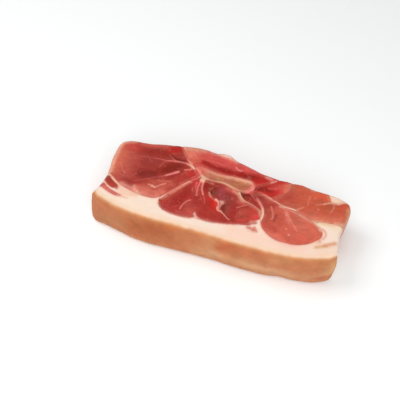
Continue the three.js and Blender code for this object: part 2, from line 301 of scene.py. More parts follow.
def fat_material():
    """Back fat with its rind: waxy and translucent white fat, faintly mottled, and dull leathery skin
    with fine pores and soft blotches."""
    material, tree, spot, tone = new_material("pork_fat_and_rind")
    rind = add_node(tree, "ShaderNodeAttribute", {}, attribute_name="rind").outputs["Fac"]
    mottle = add_node(
        tree, "ShaderNodeTexNoise", {"Vector": spot, "Scale": 1 / (7 * MM), "Detail": 4.0}
    ).outputs["Fac"]
    pores = add_node(
        tree, "ShaderNodeTexNoise", {"Vector": spot, "Scale": 1 / (1.1 * MM), "Detail": 3.0}
    ).outputs["Fac"]
    both = add_node(tree, "ShaderNodeMix", {0: 0.35, 2: mottle, 3: pores}).outputs[0]
    depth = add_node(
        tree, "ShaderNodeMapRange", {"Value": rind, "To Min": 0.06, "To Max": 0.3}
    ).outputs["Result"]
    swing = add_node(tree, "ShaderNodeMath", {0: both, 1: 0.5}, operation="SUBTRACT").outputs[0]
    change = add_node(
        tree, "ShaderNodeMath", {0: swing, 1: depth, 2: 1.0}, operation="MULTIPLY_ADD"
    ).outputs[0]
    colour = add_node(tree, "ShaderNodeHueSaturation", {"Value": change, "Color": tone}).outputs["Color"]
    rough = add_node(
        tree, "ShaderNodeMapRange", {"Value": rind, "To Min": 0.5, "To Max": 0.62}
    ).outputs["Result"]
    bump = add_node(
        tree, "ShaderNodeBump", {"Height": both, "Strength": 0.25, "Distance": 0.4 * MM}
    ).outputs["Normal"]
    surface = {
        "Base Color": colour,
        "Roughness": rough,
        "Normal": bump,
        "IOR": 1.45,
        "Specular IOR Level": 0.3,
        "Subsurface Weight": 0.15,
        "Subsurface Radius": (1.0, 0.6, 0.45),
        "Subsurface Scale": 2.0 * MM,
    }
    fill(tree, tree.nodes["Principled BSDF"], surface)
    return material


# Colours on the fat's cut face, on the seams, and on the rind by its length and height.
FAT_TONE = "#f8dfcd"
FAT_BY_LEAN = "#f4ae9a"
FAT_BY_RIND = "#f2cba6"
MEMBRANE = "#dc9676"  # the dried skin of the sides
FAT_CLOUDS = [
    ("#f6dec9", 0.8, (12, 12), [(-90, -34), (-60, -34)]),
    ("#fbd0ba", 0.75, (8, 8), [(20, -36), (50, -38), (80, -38)]),
    ("#f7d2b8", 0.7, (7, 7), [(88, -28), (100, -33)]),
    ("#f5c4a8", 0.8, (3, 3), [(-86, -25), (-80, -27), (-74, -24)]),
]
SEAM_STROKES = [
    ("#cf6c58", 0.97, (2.2, 2.2), [(-48, -16), (-40, -4), (-31, 8)]),
    ("#e6866f", 0.9, (1.5, 1.8), [(-46, -13.5), (-40, -4.5), (-36, 0.5)]),
    ("#f29a84", 0.95, (1.6, 1.8), [(-36.5, 0.5), (-32.5, 5.5)]),
    ("#dd6458", 0.97, (2.2, 2.2), [(-30.5, 8.2), (-27, 12)]),
    ("#f8c4ae", 0.95, (2.2, 2.0), [(-50.2, -21.5), (-47, -16.8)]),
    ("#d03e3a", 0.97, (2.4, 2.0), [(-26.4, 14), (-30.4, 18.8), (-32.5, 21)]),
    ("#cf5a4c", 0.97, (2.2, 2.2), [(-41, 29), (-42.6, 31.1), (-48.3, 38.6), (-57.3, 51.6)]),
    ("#e88a78", 0.95, (1.9, 1.9), [(-42, 29.5), (-37, 25)]),
    ("#f6bca2", 0.95, (2.0, 2.0), [(-36, 25), (-34.3, 22.8)]),
    ("#e0706a", 0.97, (2.0, 2.0), [(37, -3.5), (33.7, 1.6), (30, 5)]),
    ("#a02620", 0.97, (2.4, 2.2), [(29.5, 5.6), (25, 9), (19.2, 11.6)]),
    ("#e8b090", 0.95, (2.0, 1.4), [(38.9, -14), (38.4, -9), (36.8, -5)]),
    ("#e88e78", 0.97, (1.8, 1.8), [(37, -7), (28.7, -3.2), (19.7, -0.1)]),
    ("#e6ac8c", 0.95, (2.0, 2.4), [(18, 1.4), (14.2, 6.1), (11.2, 10)]),
    ("#d6725a", 0.97, (2.2, 2.0), [(86, -7), (75.7, -1.7), (66.5, 1.8)]),
    ("#f6bca6", 0.97, (2.0, 2.2), [(65, 2.4), (62, 3), (55, 3.5)]),
    ("#ee9c86", 0.97, (2.0, 2.0), [(53, 3.8), (48, 5.8)]),
    ("#f4aa98", 0.97, (2.4, 1.6), [(46, 7.2), (41, 9.2)]),
    ("#e67e70", 0.97, (1.8, 1.8), [(39, 9.8), (34, 10.8)]),
    ("#b03a32", 0.97, (2.2, 2.2), [(32, 10.9), (26, 10.8)]),
    ("#c2503f", 0.97, (2, 2), [(45, 8.6), (49.7, 14.1), (55.2, 20.8), (56.8, 27.6), (55.7, 37.6)]),
    ("#9a2c24", 0.98, (2, 2), [(25.8, 13.1), (26.4, 17), (27, 19.4)]),
    ("#d8584f", 0.95, (2.0, 1.6), [(22.6, 9.4), (25, 11.8)]),
    ("#b23c32", 0.98, (2, 2), [(27.4, 19.8), (31, 21.8), (34, 24.2)]),
    ("#b8443a", 0.97, (2, 2), [(34.5, 24.6), (36.6, 26.4)]),
    ("#ee9f92", 0.95, (1.5, 1.8), [(38, 27.4), (41, 29.4)]),
    ("#b03028", 0.97, (2, 2.4), [(43, 31.4), (45.5, 35)]),
]
FAT_MARKS = [
    ("#f7d9b2", 0.7, (3.5, 3.5), [(86, -6), (95, -5.5), (104, -6)]),
    ("#eaa08c", 0.9, (0.8, 0.9), [(93, -11), (96, -14), (97, -18), (95.5, -22)]),
    ("#f0c0a0", 0.7, (2, 2), [(92, -22), (93, -27)]),
    ("#eebc9a", 0.8, (1.3, 1.3), [(91, -5.2), (101, -5)]),
    ("#e0a67a", 0.9, (1.6, 2.0), [(92, -32), (95, -30.6), (99, -28)]),
    ("#da9464", 0.85, (2.0, 2.0), [(98, -28), (102, -25.4), (105.6, -23)]),
    ("#e29e88", 0.75, (1.4, 1.4), [(92.4, -20.6), (93.2, -25)]),
    ("#f6c0b4", 0.6, (3, 3), [(66, -37), (73, -37)]),
    ("#d4725c", 0.95, (1.8, 2.6), [(31.5, -29), (34, -29.4), (37.4, -30.4)]),
    ("#b23e38", 0.95, (1.9, 1.7), [(-91.8, -20), (-91.4, -22.2)]),
    ("#efab8e", 0.75, (1.2, 1.5), [(-103.6, -8.8), (-95, -15.4), (-90, -18.6)]),
    ("#9c3a2c", 0.95, (2.4, 1.4), [(-106, -11), (-102.5, -11.6)]),
    ("#bc4c3c", 0.95, (2.0, 1.2), [(-107, -20.4), (-103, -21.6)]),
    ("#d87c68", 0.85, (0.9, 0.9), [(37, -27), (39, -30), (40.5, -31.5)]),
    ("#ecbfa4", 0.9, (2.2, 2.2), [(-23.5, 13.4), (-20.5, 11)]),
    ("#efbc9f", 0.6, (2.2, 2.2), [(-90, -20), (-82, -23), (-72, -25)]),
    ("#eeb09a", 0.8, (1.5, 0.8), [(-86, -29.7), (-78, -31)]),
    ("#a43c38", 0.9, (1.2, 1.1), [(-49.6, -27.6), (-48, -29.6), (-44, -32.3)]),
    ("#bd5044", 0.85, (1.0, 1.2), [(-44, -32.5), (-36, -34.8), (-28, -35.3), (-20, -34.4), (-17, -31)]),
    (
        "#b8463c",
        0.85,
        (1.2, 1.4),
        [(-12, -32.6), (-2, -33.2), (9, -31.7), (20, -28.9), (30, -26), (37, -22.3)],
    ),
    ("#e69684", 0.95, (1.5, 1.8), [(-15.4, -27), (-14, -29.5), (-12, -32)]),
    ("#be4a40", 0.95, (2.0, 2.0), [(-19.5, -33), (-16.6, -32.4)]),
    ("#b43c34", 0.9, (1.3, 1.2), [(26, -26.8), (32.4, -25.8)]),
]
RIND_TONE = "#c1754b"
RIND_EDGE = "#d5925a"  # by the cut face
RIND_FOOT = "#cc9268"  # by the lower edge
RIND_STROKES = [
    ("#b15f36", 0.85, (11, 11), [(-66, 19), (-40, 23)]),
    ("#b05a30", 0.7, (5, 5), [(-52, 26), (-38, 31)]),
    ("#a8612f", 0.5, (2.5, 2.5), [(-65.5, 23), (-63, 19)]),
    ("#bd6c42", 0.6, (4, 4), [(-72, 12), (-64, 9)]),
    ("#b97a50", 0.65, (7, 7), [(-97, 13), (-82, 16)]),
    ("#c46f48", 0.6, (4, 4), [(-104, 26), (-94, 33)]),
    ("#c46a3a", 0.8, (4, 4), [(-36, 32), (-27, 35)]),
    ("#c88a5e", 0.5, (7, 7), [(-12, 13), (2, 14)]),
    ("#cc9064", 0.55, (7.5, 7), [(3, 19), (4, 33)]),
    ("#c1613a", 0.85, (4, 6), [(12, 24), (17, 28), (24, 32)]),
    ("#c8704a", 0.8, (5, 5), [(34, 30), (54, 33)]),
    ("#cf9468", 0.85, (6, 6), [(-6, 9), (12, 11), (36, 13)]),
    ("#d6a47e", 0.6, (3.5, 3.5), [(6, 15.5), (11, 13)]),
    ("#d19c74", 0.9, (6.5, 6), [(38, 12), (60, 11), (72, 9)]),
    ("#cb9068", 0.8, (6, 6), [(74, 10), (90, 11), (108, 16)]),
    ("#c98a5c", 0.6, (6, 6), [(60, 27), (72, 32)]),
    ("#c27a50", 0.7, (8, 8), [(82, 24), (97, 22)]),
    ("#d49c68", 0.7, (4, 5), [(108, 15), (109, 27)]),
    ("#c46a48", 0.8, (2.5, 2.5), [(99, 9), (103, 10)]),
    ("#96502c", 0.85, (1.4, 1.4), [(-95, 36.4)]),
]
# How far the tan of the skin has crept onto the cut face, in mm, by the place along the rind.
RIND_CREEP = [
    (-110, 7), (-104, 3.4), (-95, 2.4), (-78, 1.8), (-63, 1.6), (-45, 1.8), (-30, 1.9), (-18, 1.5),
    (-8, 1.8), (5, 1.1), (18, 1.0), (30, 1.2), (46, 1.0), (58, 0.1), (80, 0.2), (95, 0.8), (104, 0.3),
    (110, 0.2),
]
# The upper corner of the left end has sagged in and the right end leans out: for each a place, a radius
# and a sideways shift in mm, which is nothing at the lower height and whole at the upper one.
FAT_CORNERS = [([(-110, -40)], 7.5, (1.6, 0.9)), ([(112, -30)], 8, (1.2, -0.2))]
CORNER_HEIGHTS = (6, 24)

bm = cut_fine("fat", FAT_CELL)
round_skin(bm, "fat", passes=6)
place, skin, wall, edge = survey(bm)
# How far each place lies behind the rind, and round the edge from the cut face to the rind: below 0
# is cut face and above 0 is rind, with a border that wavers.
along = np.arange(math.floor(cad_low.x / MM), math.ceil(cad_high.x / MM) + 1)
front = np.full(len(along), np.inf)
np.minimum.at(front, np.rint(place[:, 0] - along[0]).astype(int), place[:, 1])
inset = place[:, 1] - np.interp(place[:, 0], along[np.isfinite(front)], front[np.isfinite(front)])
turn = THICKNESS - place[:, 2] - inset + 0.9 * lumps(place, 18) + 0.7 * lumps(place, 6)
turn += np.interp(place[:, 0], *np.transpose(RIND_CREEP))
faces_out = np.maximum(ramp(-skin[:, 1], 0.12, 0.4), ramp(skin[:, 2], 0.75, 0.95))
rind = ramp(turn, -2.6, 2.4) * faces_out
seam = ramp(THICKNESS - place[:, 2], 0.2, 0.45) * ramp(skin[:, 2], 0.8, 0.95) * ramp(place[:, 2], 35, 36)

tone = np.tile(paint(FAT_TONE), (len(place), 1))
brush(tone, place, FAT_CLOUDS)
blend(tone, 0.6 * ramp(turn, -8, -1) * faces_out, FAT_BY_RIND)
blend(tone, 0.85 * np.exp(-((edge / 1.2 + 0.3 * lumps(place, 4)) ** 2)), FAT_BY_LEAN)
brush(tone, place, SEAM_STROKES)
brush(tone, place, FAT_MARKS)
blend(tone, 0.7 * ramp(skin[:, 1], 0.2, 0.6), MEMBRANE)
rind_tone = np.tile(paint(RIND_TONE), (len(place), 1))
brush(rind_tone, place[:, [0, 2, 1]], RIND_STROKES)
blend(rind_tone, 0.75 * ramp(turn, 6.0, 1.0), RIND_EDGE)
blend(rind_tone, 0.4 * ramp(place[:, 2] + 2 * lumps(place, 12), 9, 2), RIND_FOOT)
rind_tone *= (1 + 0.12 * lumps(place, 9) + 0.08 * lumps(place, 3.5))[:, None]
tone += rind[:, None] * (rind_tone - tone)

leather = rind * (0.35 * lumps(place, 26) + 0.12 * lumps(place, 7))
place = relieve(place, skin, wall, common_relief(place) + leather + SEAM_RISE * seam)
for spot, radius, shift in FAT_CORNERS:
    place[:, :2] += spread(place, spot, radius, *CORNER_HEIGHTS)[:, None] * shift
pork_fat = fat_material()
add_piece(bm, "fat_and_rind", "fat", "fat", pork_fat, place, tone, rind=rind)

# The wedge of fat at the right end of the back edge: a scrap of the same white fat, which grew to the
# muscle beside it and was sawn through with the rest.
CORNER_TONE = "#f6d4be"
CORNER_BY_LEAN = "#eaa888"

bm = cut_fine("fat_back_corner", FAT_CELL)
round_skin(bm, "fat_back_corner", passes=4)
place, skin, wall, edge = survey(bm)
tone = np.tile(paint(CORNER_TONE), (len(place), 1))
blend(tone, 0.7 * np.exp(-((edge / 1.4) ** 2)), CORNER_BY_LEAN)
place = relieve(place, skin, wall, common_relief(place))
add_piece(bm, "corner_fat", "fat_back_corner", "fat", pork_fat, place, tone, rind=np.zeros(len(place)))

# The blade bone: the flat end of the shoulder blade, sawn across. A hard ivory rim holds spongy,
# tan marrow bone, which lies a little lower because the saw tears it.
BONE_CELL = 0.6
BONE_RIM = "#de927a"
BONE_MARROW = "#b96e4a"
BONE_STROKES = [
    ("#da947c", 0.8, (2, 2), [(-22, 24.4), (-10, 22)]),
    ("#e8a88a", 0.85, (2, 2), [(0, 22.2), (12, 22.8), (20, 21.6)]),
    ("#e0a080", 0.8, (1.8, 1.8), [(-8, 13.6), (0, 12.2), (7, 9.8)]),
    ("#dc8a72", 0.7, (1.6, 1.6), [(10, 9), (14, 8.6)]),
    # Painted shadow: a dark strip along the bone's lower right edge, where it meets the sliver muscle.
    ("#94482f", 0.85, (1.6, 1.6), [(14.5, 7.2), (20, 8)]),
    ("#b56a46", 0.7, (2.5, 2.5), [(2, 17.5), (14, 14)]),
    ("#b4685a", 0.7, (2.4, 2.4), [(-3, 17), (4, 20)]),
    ("#ac5844", 0.75, (2.2, 2.2), [(13, 15), (18, 15.5)]),
    ("#a2583c", 0.6, (1.2, 1.2), [(4, 18.6), (9, 18)]),
    ("#c46e52", 0.9, (4, 4), [(-23, 18), (-13, 16)]),
    ("#ae6050", 0.75, (2.4, 2.4), [(-17, 17), (-11, 15.6)]),
    ("#ba825a", 0.7, (1.8, 1.8), [(-22, 19.4), (-19, 18.6)]),
    ("#b08458", 0.7, (2, 2), [(-9.5, 17.5), (-8, 15)]),
    ("#da6c5e", 0.95, (5, 5), [(-31, 25), (-26, 21.5)]),
    ("#ea7a74", 0.9, (2.6, 3), [(23.8, 17.6), (23, 14.5), (21, 11)]),
    ("#f89e90", 0.9, (1.8, 1.8), [(25.4, 13), (24, 10), (22, 7.6)]),
    ("#f0867a", 0.9, (1.1, 1.3), [(-33, 24), (-28, 20), (-24, 16)]),
    ("#eab69a", 0.9, (2.2, 2.2), [(-23, 14.6), (-20, 13.6)]),
]


def bone_material():
    """Sawn bone: dull ivory with a sponge of small dark pits."""
    material, tree, spot, tone = new_material("sawn_bone")
    marrow = add_node(tree, "ShaderNodeAttribute", {}, attribute_name="marrow").outputs["Fac"]
    pits = add_node(
        tree, "ShaderNodeTexVoronoi", {"Vector": spot, "Scale": 1 / (1.3 * MM)}
    ).outputs["Distance"]
    cloud = add_node(
        tree, "ShaderNodeTexNoise", {"Vector": spot, "Scale": 1 / (4 * MM), "Detail": 4.0}
    ).outputs["Fac"]
    sponge = add_node(tree, "ShaderNodeMath", {0: pits, 1: cloud}, operation="MULTIPLY").outputs[0]
    depth = add_node(
        tree, "ShaderNodeMapRange", {"Value": marrow, "To Min": 0.15, "To Max": 0.8}
    ).outputs["Result"]
    swing = add_node(tree, "ShaderNodeMath", {0: sponge, 1: 0.22}, operation="SUBTRACT").outputs[0]
    change = add_node(
        tree, "ShaderNodeMath", {0: swing, 1: depth, 2: 1.0}, operation="MULTIPLY_ADD"
    ).outputs[0]
    colour = add_node(tree, "ShaderNodeHueSaturation", {"Value": change, "Color": tone}).outputs["Color"]
    bump = add_node(
        tree, "ShaderNodeBump", {"Height": sponge, "Strength": 0.4, "Distance": 0.5 * MM}
    ).outputs["Normal"]
    surface = {
        "Base Color": colour,
        "Roughness": 0.6,
        "Normal": bump,
        "IOR": 1.5,
        "Specular IOR Level": 0.3,
        "Subsurface Weight": 0.1,
        "Subsurface Radius": (1.0, 0.6, 0.4),
        "Subsurface Scale": 1.5 * MM,
    }
    fill(tree, tree.nodes["Principled BSDF"], surface)
    return material


bm = cut_fine("blade_bone", BONE_CELL)
round_skin(bm, "blade_bone", passes=4)
place, skin, wall, edge = survey(bm)
marrow = ramp(edge + 0.6 * lumps(place, 3), 2.2, 3.4)
tone = np.tile(paint(BONE_RIM), (len(place), 1))
blend(tone, marrow, BONE_MARROW)
brush(tone, place, BONE_STROKES)
place = relieve(place, skin, wall, common_relief(place) + 0.15 * marrow * lumps(place, 1.6))
add_piece(bm, "bone", "blade_bone", "bone", bone_material(), place, tone, marrow=marrow)

# The lean: seven muscles and two thin streaks of red pork, each wrapped in its own membrane and cut
# across its fibres. They differ in colour, and fine veins of fat and sinew run through them.
LEAN_CELL = 0.6
LEAN_PASSES = 8
PILLOW = 0.45  # mm, how far a muscle's middle stands above its border
DRYNESS = 0.55  # how thickly dried membrane covers the sides
MARBLING = "#d07062"
MARBLING_SIZE = 4.5
SWELLING_HEIGHTS = (32, 36.5)  # mm, where a swelling of the upper edge starts and where it is whole
# The torn edge of the hollow in the centre muscle, from the back to the front.
TEAR = [
    (-12.8, 1.6), (-10.3, -2.9), (-3.8, -6.2), (-0.4, -9.4), (1.2, -15.9), (6.7, -20.4), (13.2, -25.8),
]


def lean_material(name, turn):
    """Raw pork: moist and satiny, mottled with darker and paler bundles of fibres that lie turned by
    that many degrees."""
    material, tree, spot, tone = new_material(name)
    grain = add_node(
        tree,
        "ShaderNodeMapping",
        {"Vector": spot, "Rotation": (0, 0, math.radians(turn)), "Scale": (0.45, 1, 0.45)},
    ).outputs["Vector"]
    mottle = add_node(
        tree,
        "ShaderNodeTexNoise",
        {"Vector": spot, "Scale": 1 / (9 * MM), "Detail": 5.0, "Roughness": 0.6},
    ).outputs["Fac"]
    fibre = add_node(
        tree, "ShaderNodeTexNoise", {"Vector": grain, "Scale": 1 / (2.6 * MM), "Detail": 4.0}
    ).outputs["Fac"]
    both = add_node(tree, "ShaderNodeMix", {0: 0.45, 2: mottle, 3: fibre}).outputs[0]
    change = add_node(
        tree,
        "ShaderNodeMapRange",
        {"Value": both, "From Min": 0.3, "From Max": 0.7, "To Min": 0.79, "To Max": 1.21},
    ).outputs["Result"]
    colour = add_node(tree, "ShaderNodeHueSaturation", {"Value": change, "Color": tone}).outputs["Color"]
    rough = add_node(
        tree, "ShaderNodeMapRange", {"Value": fibre, "To Min": 0.36, "To Max": 0.56}
    ).outputs["Result"]
    bump = add_node(
        tree, "ShaderNodeBump", {"Height": both, "Strength": 0.35, "Distance": 0.6 * MM}
    ).outputs["Normal"]
    surface = {
        "Base Color": colour,
        "Roughness": rough,
        "Normal": bump,
        "IOR": 1.4,
        "Specular IOR Level": 0.22,
        "Subsurface Weight": 0.1,
        "Subsurface Radius": (1.0, 0.35, 0.25),
        "Subsurface Scale": 1.2 * MM,
    }
    fill(tree, tree.nodes["Principled BSDF"], surface)
    return material


# Each muscle: the piece's name, its slot, the turn of its fibres, its colour, zones of other colours
# and the veins that run over them. Some also have a drier outer side, a sharp line in their face with
# more passes of smoothing round it, or swellings along the upper edge: a height and a radius in mm, a
# colour and a line.
MUSCLES = {
    "lean_left": {
        "piece": "left_muscle",
        "slot": "lean_dark",
        "fibres": 14,
        "colour": "#a63a30",
        "zones": [
            ("#bc5549", 0.85, (9, 8), [(-94, 18), (-93, 4), (-91, -9)]),
            ("#e07a5e", 0.95, (6, 6), [(-109, 32), (-107.5, 15), (-104, -2)]),
            ("#eba78e", 0.9, (2.8, 2.4), [(-96, 38), (-107, 31), (-108, 15), (-105.5, -5)]),
            ("#d3674f", 0.7, (4, 4), [(-101, 28), (-100, 8)]),
            ("#c0413a", 0.8, (5, 5), [(-98, 30), (-90, 30)]),
            ("#86271f", 0.95, (6, 6), [(-76, 1), (-68, 4)]),
            ("#842319", 0.95, (7, 7), [(-58, 11), (-50, 19)]),
            ("#982c22", 0.85, (6, 6), [(-84, 30), (-70, 31), (-61, 31)]),
            ("#cc5c4e", 0.75, (3.2, 3.2), [(-88, 35.5), (-79, 37), (-67, 40)]),
            ("#903430", 0.6, (5, 5), [(-79, 17), (-72, 19)]),
            ("#842c2a", 0.8, (3.5, 3.5), [(-71, -2.5), (-61, 0), (-50, 1.6)]),
            ("#7c241e", 0.75, (2.2, 2.2), [(-50, 15.6), (-43.5, 13)]),
            ("#a02a2c", 0.7, (3, 3), [(-52, 5), (-44, 8)]),
            ("#d8685a", 0.6, (2, 2), [(-38.5, 0.5), (-34, 6)]),
            ("#b8241c", 0.9, (4, 4), [(-60, 37), (-53, 41)]),
            ("#b43a30", 0.6, (5, 5), [(-45, 3), (-37, 11)]),
            ("#c8302e", 0.85, (4.5, 4.5), [(-34, 15), (-29, 20)]),
            ("#c85a4a", 0.8, (5, 5), [(-63, -7), (-55, -4), (-48, -3)]),
            ("#d46e5c", 0.95, (5.5, 5.5), [(-73, -16.5), (-62, -18), (-52, -15)]),
            ("#da8272", 0.8, (2.2, 2.2), [(-69, -21), (-60, -22), (-53, -20.5)]),
            ("#9c332b", 0.8, (3, 3), [(-90, -11), (-82, -12), (-75, -10.5)]),
            ("#dc8a7c", 0.9, (2.8, 3.2), [(-90, -16.5), (-83, -18.5), (-76, -19.5)]),
            ("#e89c8a", 0.8, (1.4, 1.4), [(-77.5, -15.5), (-76, -20)]),
            ("#efb698", 0.9, (2.0, 2.4), [(-73, -21.2), (-70.5, -23.5)]),
        ],
        "veins": [
            ("#74201c", 0.8, (1.5, 1.1), [(-58, 29), (-53, 28), (-44, 27.7)]),
            ("#d4706a", 0.9, (1.4, 1.0), [(-36, 24), (-41, 25.4), (-47, 25.2), (-53, 24.6), (-60, 23)]),
            ("#c86056", 0.75, (0.9, 0.6), [(-60, 22.8), (-66, 23), (-71, 22.4)]),
            ("#bb564c", 0.5, (0.7, 0.5), [(-71, 22.4), (-79, 21.6), (-86, 21)]),
            ("#cf6459", 0.65, (0.8, 0.6), [(-52, 24.6), (-57, 28), (-60, 30)]),
            ("#b0504a", 0.7, (0.8, 0.7), [(-61, 22), (-63, 18), (-64, 13)]),
            ("#e8807a", 0.95, (1.5, 0.9), [(-45.6, 13), (-49.6, 9.4), (-55.6, 4.9)]),
            ("#bb4e46", 0.75, (0.8, 0.5), [(-55.6, 4.9), (-63, 0.6), (-70, -4), (-80, -10)]),
            ("#e88c78", 0.9, (0.9, 0.8), [(-66, -9.6), (-62, -9.6), (-60, -11), (-56, -7.4), (-52, -4)]),
            ("#f0a48e", 0.85, (1.3, 1.1), [(-62.4, -10.8), (-59.4, -11.4)]),
            ("#d86a55", 0.7, (0.9, 0.7), [(-60, -3), (-54, -2), (-48, 0)]),
            ("#ea8074", 0.9, (0.8, 1.2), [(-41, 17), (-38, 18.5), (-36, 19.5), (-34.5, 22)]),
            ("#f0947f", 0.85, (1.1, 1.5), [(-41, 25), (-37.6, 24.6)]),
            ("#f2a890", 0.9, (1.4, 1.6), [(-37.6, 24.4), (-35.6, 22.6)]),
            ("#e2665e", 0.8, (0.7, 0.7), [(-32, 9), (-30.5, 11.5), (-28.6, 14)]),
            ("#7c221a", 0.7, (0.7, 0.6), [(-32.4, 6.6), (-31, 8.6)]),
            ("#dc8a78", 0.6, (0.7, 0.7), [(-92, 37.6), (-84, 38.2), (-72, 40.4), (-60, 43)]),
            ("#d8705a", 0.6, (0.8, 0.7), [(-101, 12), (-98, 5), (-94, -1), (-91, -3)]),
            ("#b9493f", 0.6, (0.8, 0.7), [(-84, 13), (-82.5, 8), (-82.5, 3)]),
        ],
    },
    "lean_back": {
        "piece": "back_muscle",
        "slot": "lean_bright",
        "fibres": -18,
        "colour": "#d0504a",
        "zones": [
            ("#d9765f", 0.95, (9, 8), [(-50, 43), (-42, 37)]),
            ("#cf5f4c", 0.7, (4, 4), [(-39, 30), (-33, 34)]),
            ("#d9957a", 0.85, (3.5, 3.5), [(-52, 46), (-41, 46), (-31, 46.5)]),
            ("#e8b09c", 0.8, (2.4, 1.8), [(-56, 43.4), (-50, 42.8)]),
            ("#dc9480", 0.6, (2.0, 1.6), [(-46, 43.4), (-38, 43.4)]),
            ("#df9484", 0.7, (2, 2), [(-24, 45), (-10, 44), (3, 40.5)]),
            ("#dc7464", 0.5, (2, 2), [(8, 39.5), (20, 36), (34, 33)]),
            (
                "#a0221b",
                0.97,
                (3.4, 4),
                [(-27, 31.5), (-18, 29), (-5, 27), (8, 27), (20, 27.6), (31, 27)],
            ),
            ("#981f18", 0.8, (2.5, 2.5), [(-12, 28), (5, 27.5), (28, 29)]),
            ("#b82420", 0.85, (4, 4), [(25, 24), (33, 27)]),
            ("#bc3c34", 0.7, (2, 2), [(25, 31.5), (29, 31)]),
            ("#e0948a", 0.75, (1.6, 1.8), [(32, 31.4), (37, 30.6)]),
            ("#7c2820", 0.75, (2.2, 2.2), [(14.6, 25), (19, 26.4)]),
            ("#a04c40", 0.7, (1.6, 1.6), [(-19, 25.6), (-13, 24.6)]),
        ],
        "veins": [
            ("#e58a80", 0.85, (0.9, 0.7), [(2.5, 34.4), (5, 32.5), (6.5, 31.8), (9, 32.2)]),
            ("#df8d78", 0.5, (0.7, 0.5), [(-40.5, 41), (-37, 36.5)]),
            ("#ec8a7a", 0.85, (1.5, 1.4), [(-41.4, 29.4), (-37.5, 26.4)]),
            ("#d8685c", 0.5, (0.8, 0.7), [(-26, 35), (-18, 35.5), (-8, 33)]),
            ("#eaa898", 0.8, (1.6, 1.2), [(-18, 46), (-8, 44.6), (2, 41.6)]),
        ],
        "swellings": [(1.2, 3.6, "#f0cfc2", [(-13.5, 47.5), (-10, 47.2), (-7, 46.4)])],
    },
    "lean_centre": {
        "piece": "centre_muscle",
        "slot": "lean_dark",
        "fibres": 60,
        "colour": "#a8342c",
        "passes": 40,
        "sharp_line": TEAR,
        "zones": [
            ("#b5503e", 0.8, (3, 3), [(-40, -9), (-46, -20)]),
            ("#e48c78", 0.8, (1.4, 1.2), [(-44.4, -13.4), (-37, -3), (-33.4, 2.2), (-31, 5)]),
            ("#c8383a", 0.85, (4, 4), [(-25.5, 7), (-24, 2)]),
            ("#bd4a42", 0.8, (3.5, 3.5), [(-23.5, -2), (-22, -6)]),
            ("#d98a74", 0.8, (1.4, 1.1), [(-19.6, 10.6), (-15, 9.2), (-11.4, 9.2)]),
            ("#e09080", 0.75, (1.4, 1.0), [(-49.4, -21.5), (-46, -17)]),
            ("#961f18", 0.9, (3.5, 3.5), [(-17, 7), (-14, 1)]),
            ("#9c241e", 0.9, (4.5, 4.5), [(-31, -10), (-34, -22)]),
            ("#b03a38", 0.7, (4, 4), [(-43, -26), (-39, -30)]),
            ("#b84840", 0.8, (4, 4), [(-26, -21), (-19, -24)]),
            ("#b84e46", 0.8, (2.2, 2.2), [(-31, -32), (-23, -32), (-17, -30.4)]),
            ("#953834", 0.9, (6, 6), [(-6, 3), (2, 0), (10, -4)]),
            ("#a04048", 0.8, (3.5, 3.5), [(-2, 5), (1, -2)]),
            ("#8a4234", 0.8, (2.5, 2.5), [(-9, -2), (-6, 2)]),
            ("#8a2a1c", 0.85, (2.5, 2.5), [(-8.5, 6), (-7, 10)]),
            ("#9a2c22", 0.8, (1.6, 1.4), [(-13.4, 3.4), (-11.8, 0)]),
            ("#c85a4c", 0.8, (2, 2), [(2, 8.5), (9, 6)]),
            ("#df8e78", 0.85, (1.5, 1.5), [(8.6, 7.4), (12, 5.6)]),
            ("#cc6455", 0.7, (2.2, 2.2), [(16.5, -2.6), (20, -3.6)]),
            ("#d27a64", 0.75, (1.4, 1.8), [(22, -2.8), (29, -5), (34, -7.2)]),
            ("#e8b092", 0.85, (2.2, 1.8), [(35.6, -7.4), (37.6, -11), (38, -14)]),
            ("#a5302c", 0.8, (4, 4), [(13, -10), (15, -22)]),
            ("#8c2c28", 0.75, (1.8, 1.8), [(17, -9.8), (23, -9)]),
            ("#c0665c", 0.7, (1.6, 1.6), [(20.5, -14), (22.4, -15.4)]),
            ("#b84a3a", 0.8, (5, 5), [(24, -12), (26, -21)]),
            ("#d04a40", 0.85, (4, 4), [(33, -10), (35, -18)]),
            ("#d83a3c", 0.8, (2.2, 2.2), [(36, -14.5), (36.5, -18)]),
            ("#c8433e", 0.7, (1.8, 1.8), [(22, -24), (33, -20.5)]),
            ("#e69a84", 0.8, (1.6, 1.6), [(32.6, -23.4), (37, -20.6)]),
            ("#c02a22", 0.9, (4, 4), [(-7, -11), (-5, -13), (-1.5, -17.5)]),
            ("#e03a2a", 0.9, (1.8, 1.8), [(-4, -9.5), (-1, -13.5)]),
            # Painted shadow: dark shade in the hollow, right of the torn edge.
            ("#8a3c32", 0.8, (3.2, 2.2), [(5.6, -6.4), (7.6, -11), (8.4, -14)]),
            ("#782a1e", 0.95, (2.2, 2.2), [(4.6, -10), (5.2, -13), (7.4, -16.4)]),
            ("#ae483c", 0.7, (2.2, 2.2), [(8.4, -16.4), (9.4, -19)]),
            ("#eaa898", 0.9, (1.6, 1.5), [(-1.4, -7.4), (2.4, -7)]),
            ("#e0988a", 0.85, (1.5, 1.0), [(2, -8), (1.2, -11)]),
            ("#de9a80", 0.85, (1.7, 1.0), [(13.5, 5), (16.3, 1), (20, -1.8)]),
            ("#c45a4e", 0.5, (3, 3), [(-24, -27), (-18, -28)]),
        ],
        "veins": [
            ("#c4584c", 0.5, (0.6, 0.6), [(18.5, -16), (19, -24)]),
            ("#c4584c", 0.4, (0.6, 0.6), [(21, -17), (22, -23)]),
            ("#d96a5c", 0.8, (0.7, 0.7), [(16, -10), (20, -7.5), (24, -5)]),
            ("#c8524a", 0.5, (0.6, 0.5), [(-31, -24), (-37, -28)]),
            (
                "#dc746a",
                0.9,
                (0.9, 0.7),
